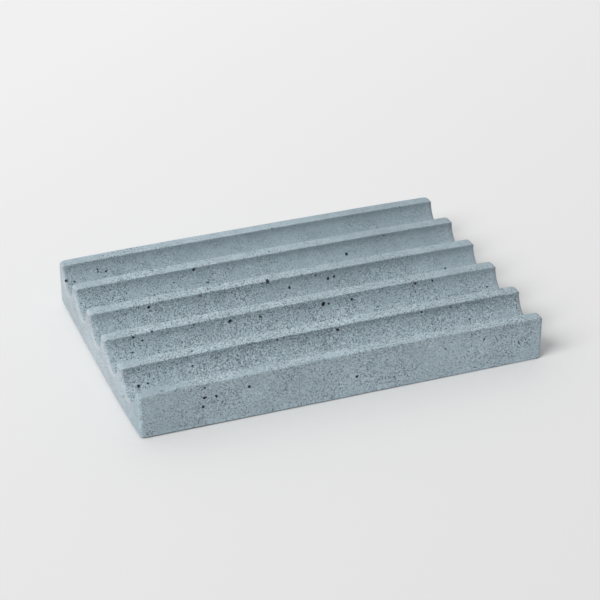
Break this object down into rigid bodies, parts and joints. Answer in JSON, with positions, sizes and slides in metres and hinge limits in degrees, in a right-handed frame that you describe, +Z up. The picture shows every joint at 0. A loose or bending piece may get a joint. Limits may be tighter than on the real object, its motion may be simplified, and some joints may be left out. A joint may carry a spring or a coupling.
{
  "type": "soap dish",
  "caption": "Low rectangular soap dish cast in fine stone, with ribs that hold the bar clear of round-bottomed drain channels, on thin non-slip pads.",
  "frame": {"origin": "on the surface that the dish stands on, under its middle, level with the pads' undersides", "axes": "+X along the drain channels, +Y across them to the back, +Z up"},
  "size_m": [0.14, 0.0954, 0.0163],
  "materials": {
    "cast_stone": "matt, fine-grained and slightly porous",
    "pad_rubber": "matt"
  },
  "bodies": {
    "root": {"dish_body": "cast_stone", "pad_front_left": "pad_rubber", "pad_front_right": "pad_rubber", "pad_back_left": "pad_rubber", "pad_back_right": "pad_rubber"}
  },
  "joints": []
}
